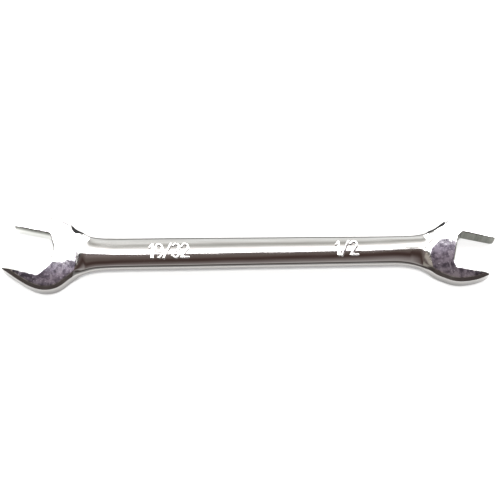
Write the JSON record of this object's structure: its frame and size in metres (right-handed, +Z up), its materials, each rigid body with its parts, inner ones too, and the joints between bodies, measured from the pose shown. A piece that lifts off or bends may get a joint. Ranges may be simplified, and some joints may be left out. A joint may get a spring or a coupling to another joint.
{
  "type": "double open-end wrench",
  "caption": "Forged open-end wrench with an angled mouth for a hexagon nut at each end of a flat oval shank.",
  "frame": {"origin": "middle of the wrench's length and width, on the plane that it lies on", "axes": "+X along the shank towards the small head, +Z up, square to the ground faces, and +Y to the side that the large mouth opens to"},
  "size_m": [0.1687, 0.0274, 0.0056],
  "materials": {
    "wrench": "polished chrome plate"
  },
  "bodies": {
    "root": {"wrench": "wrench"}
  },
  "joints": []
}
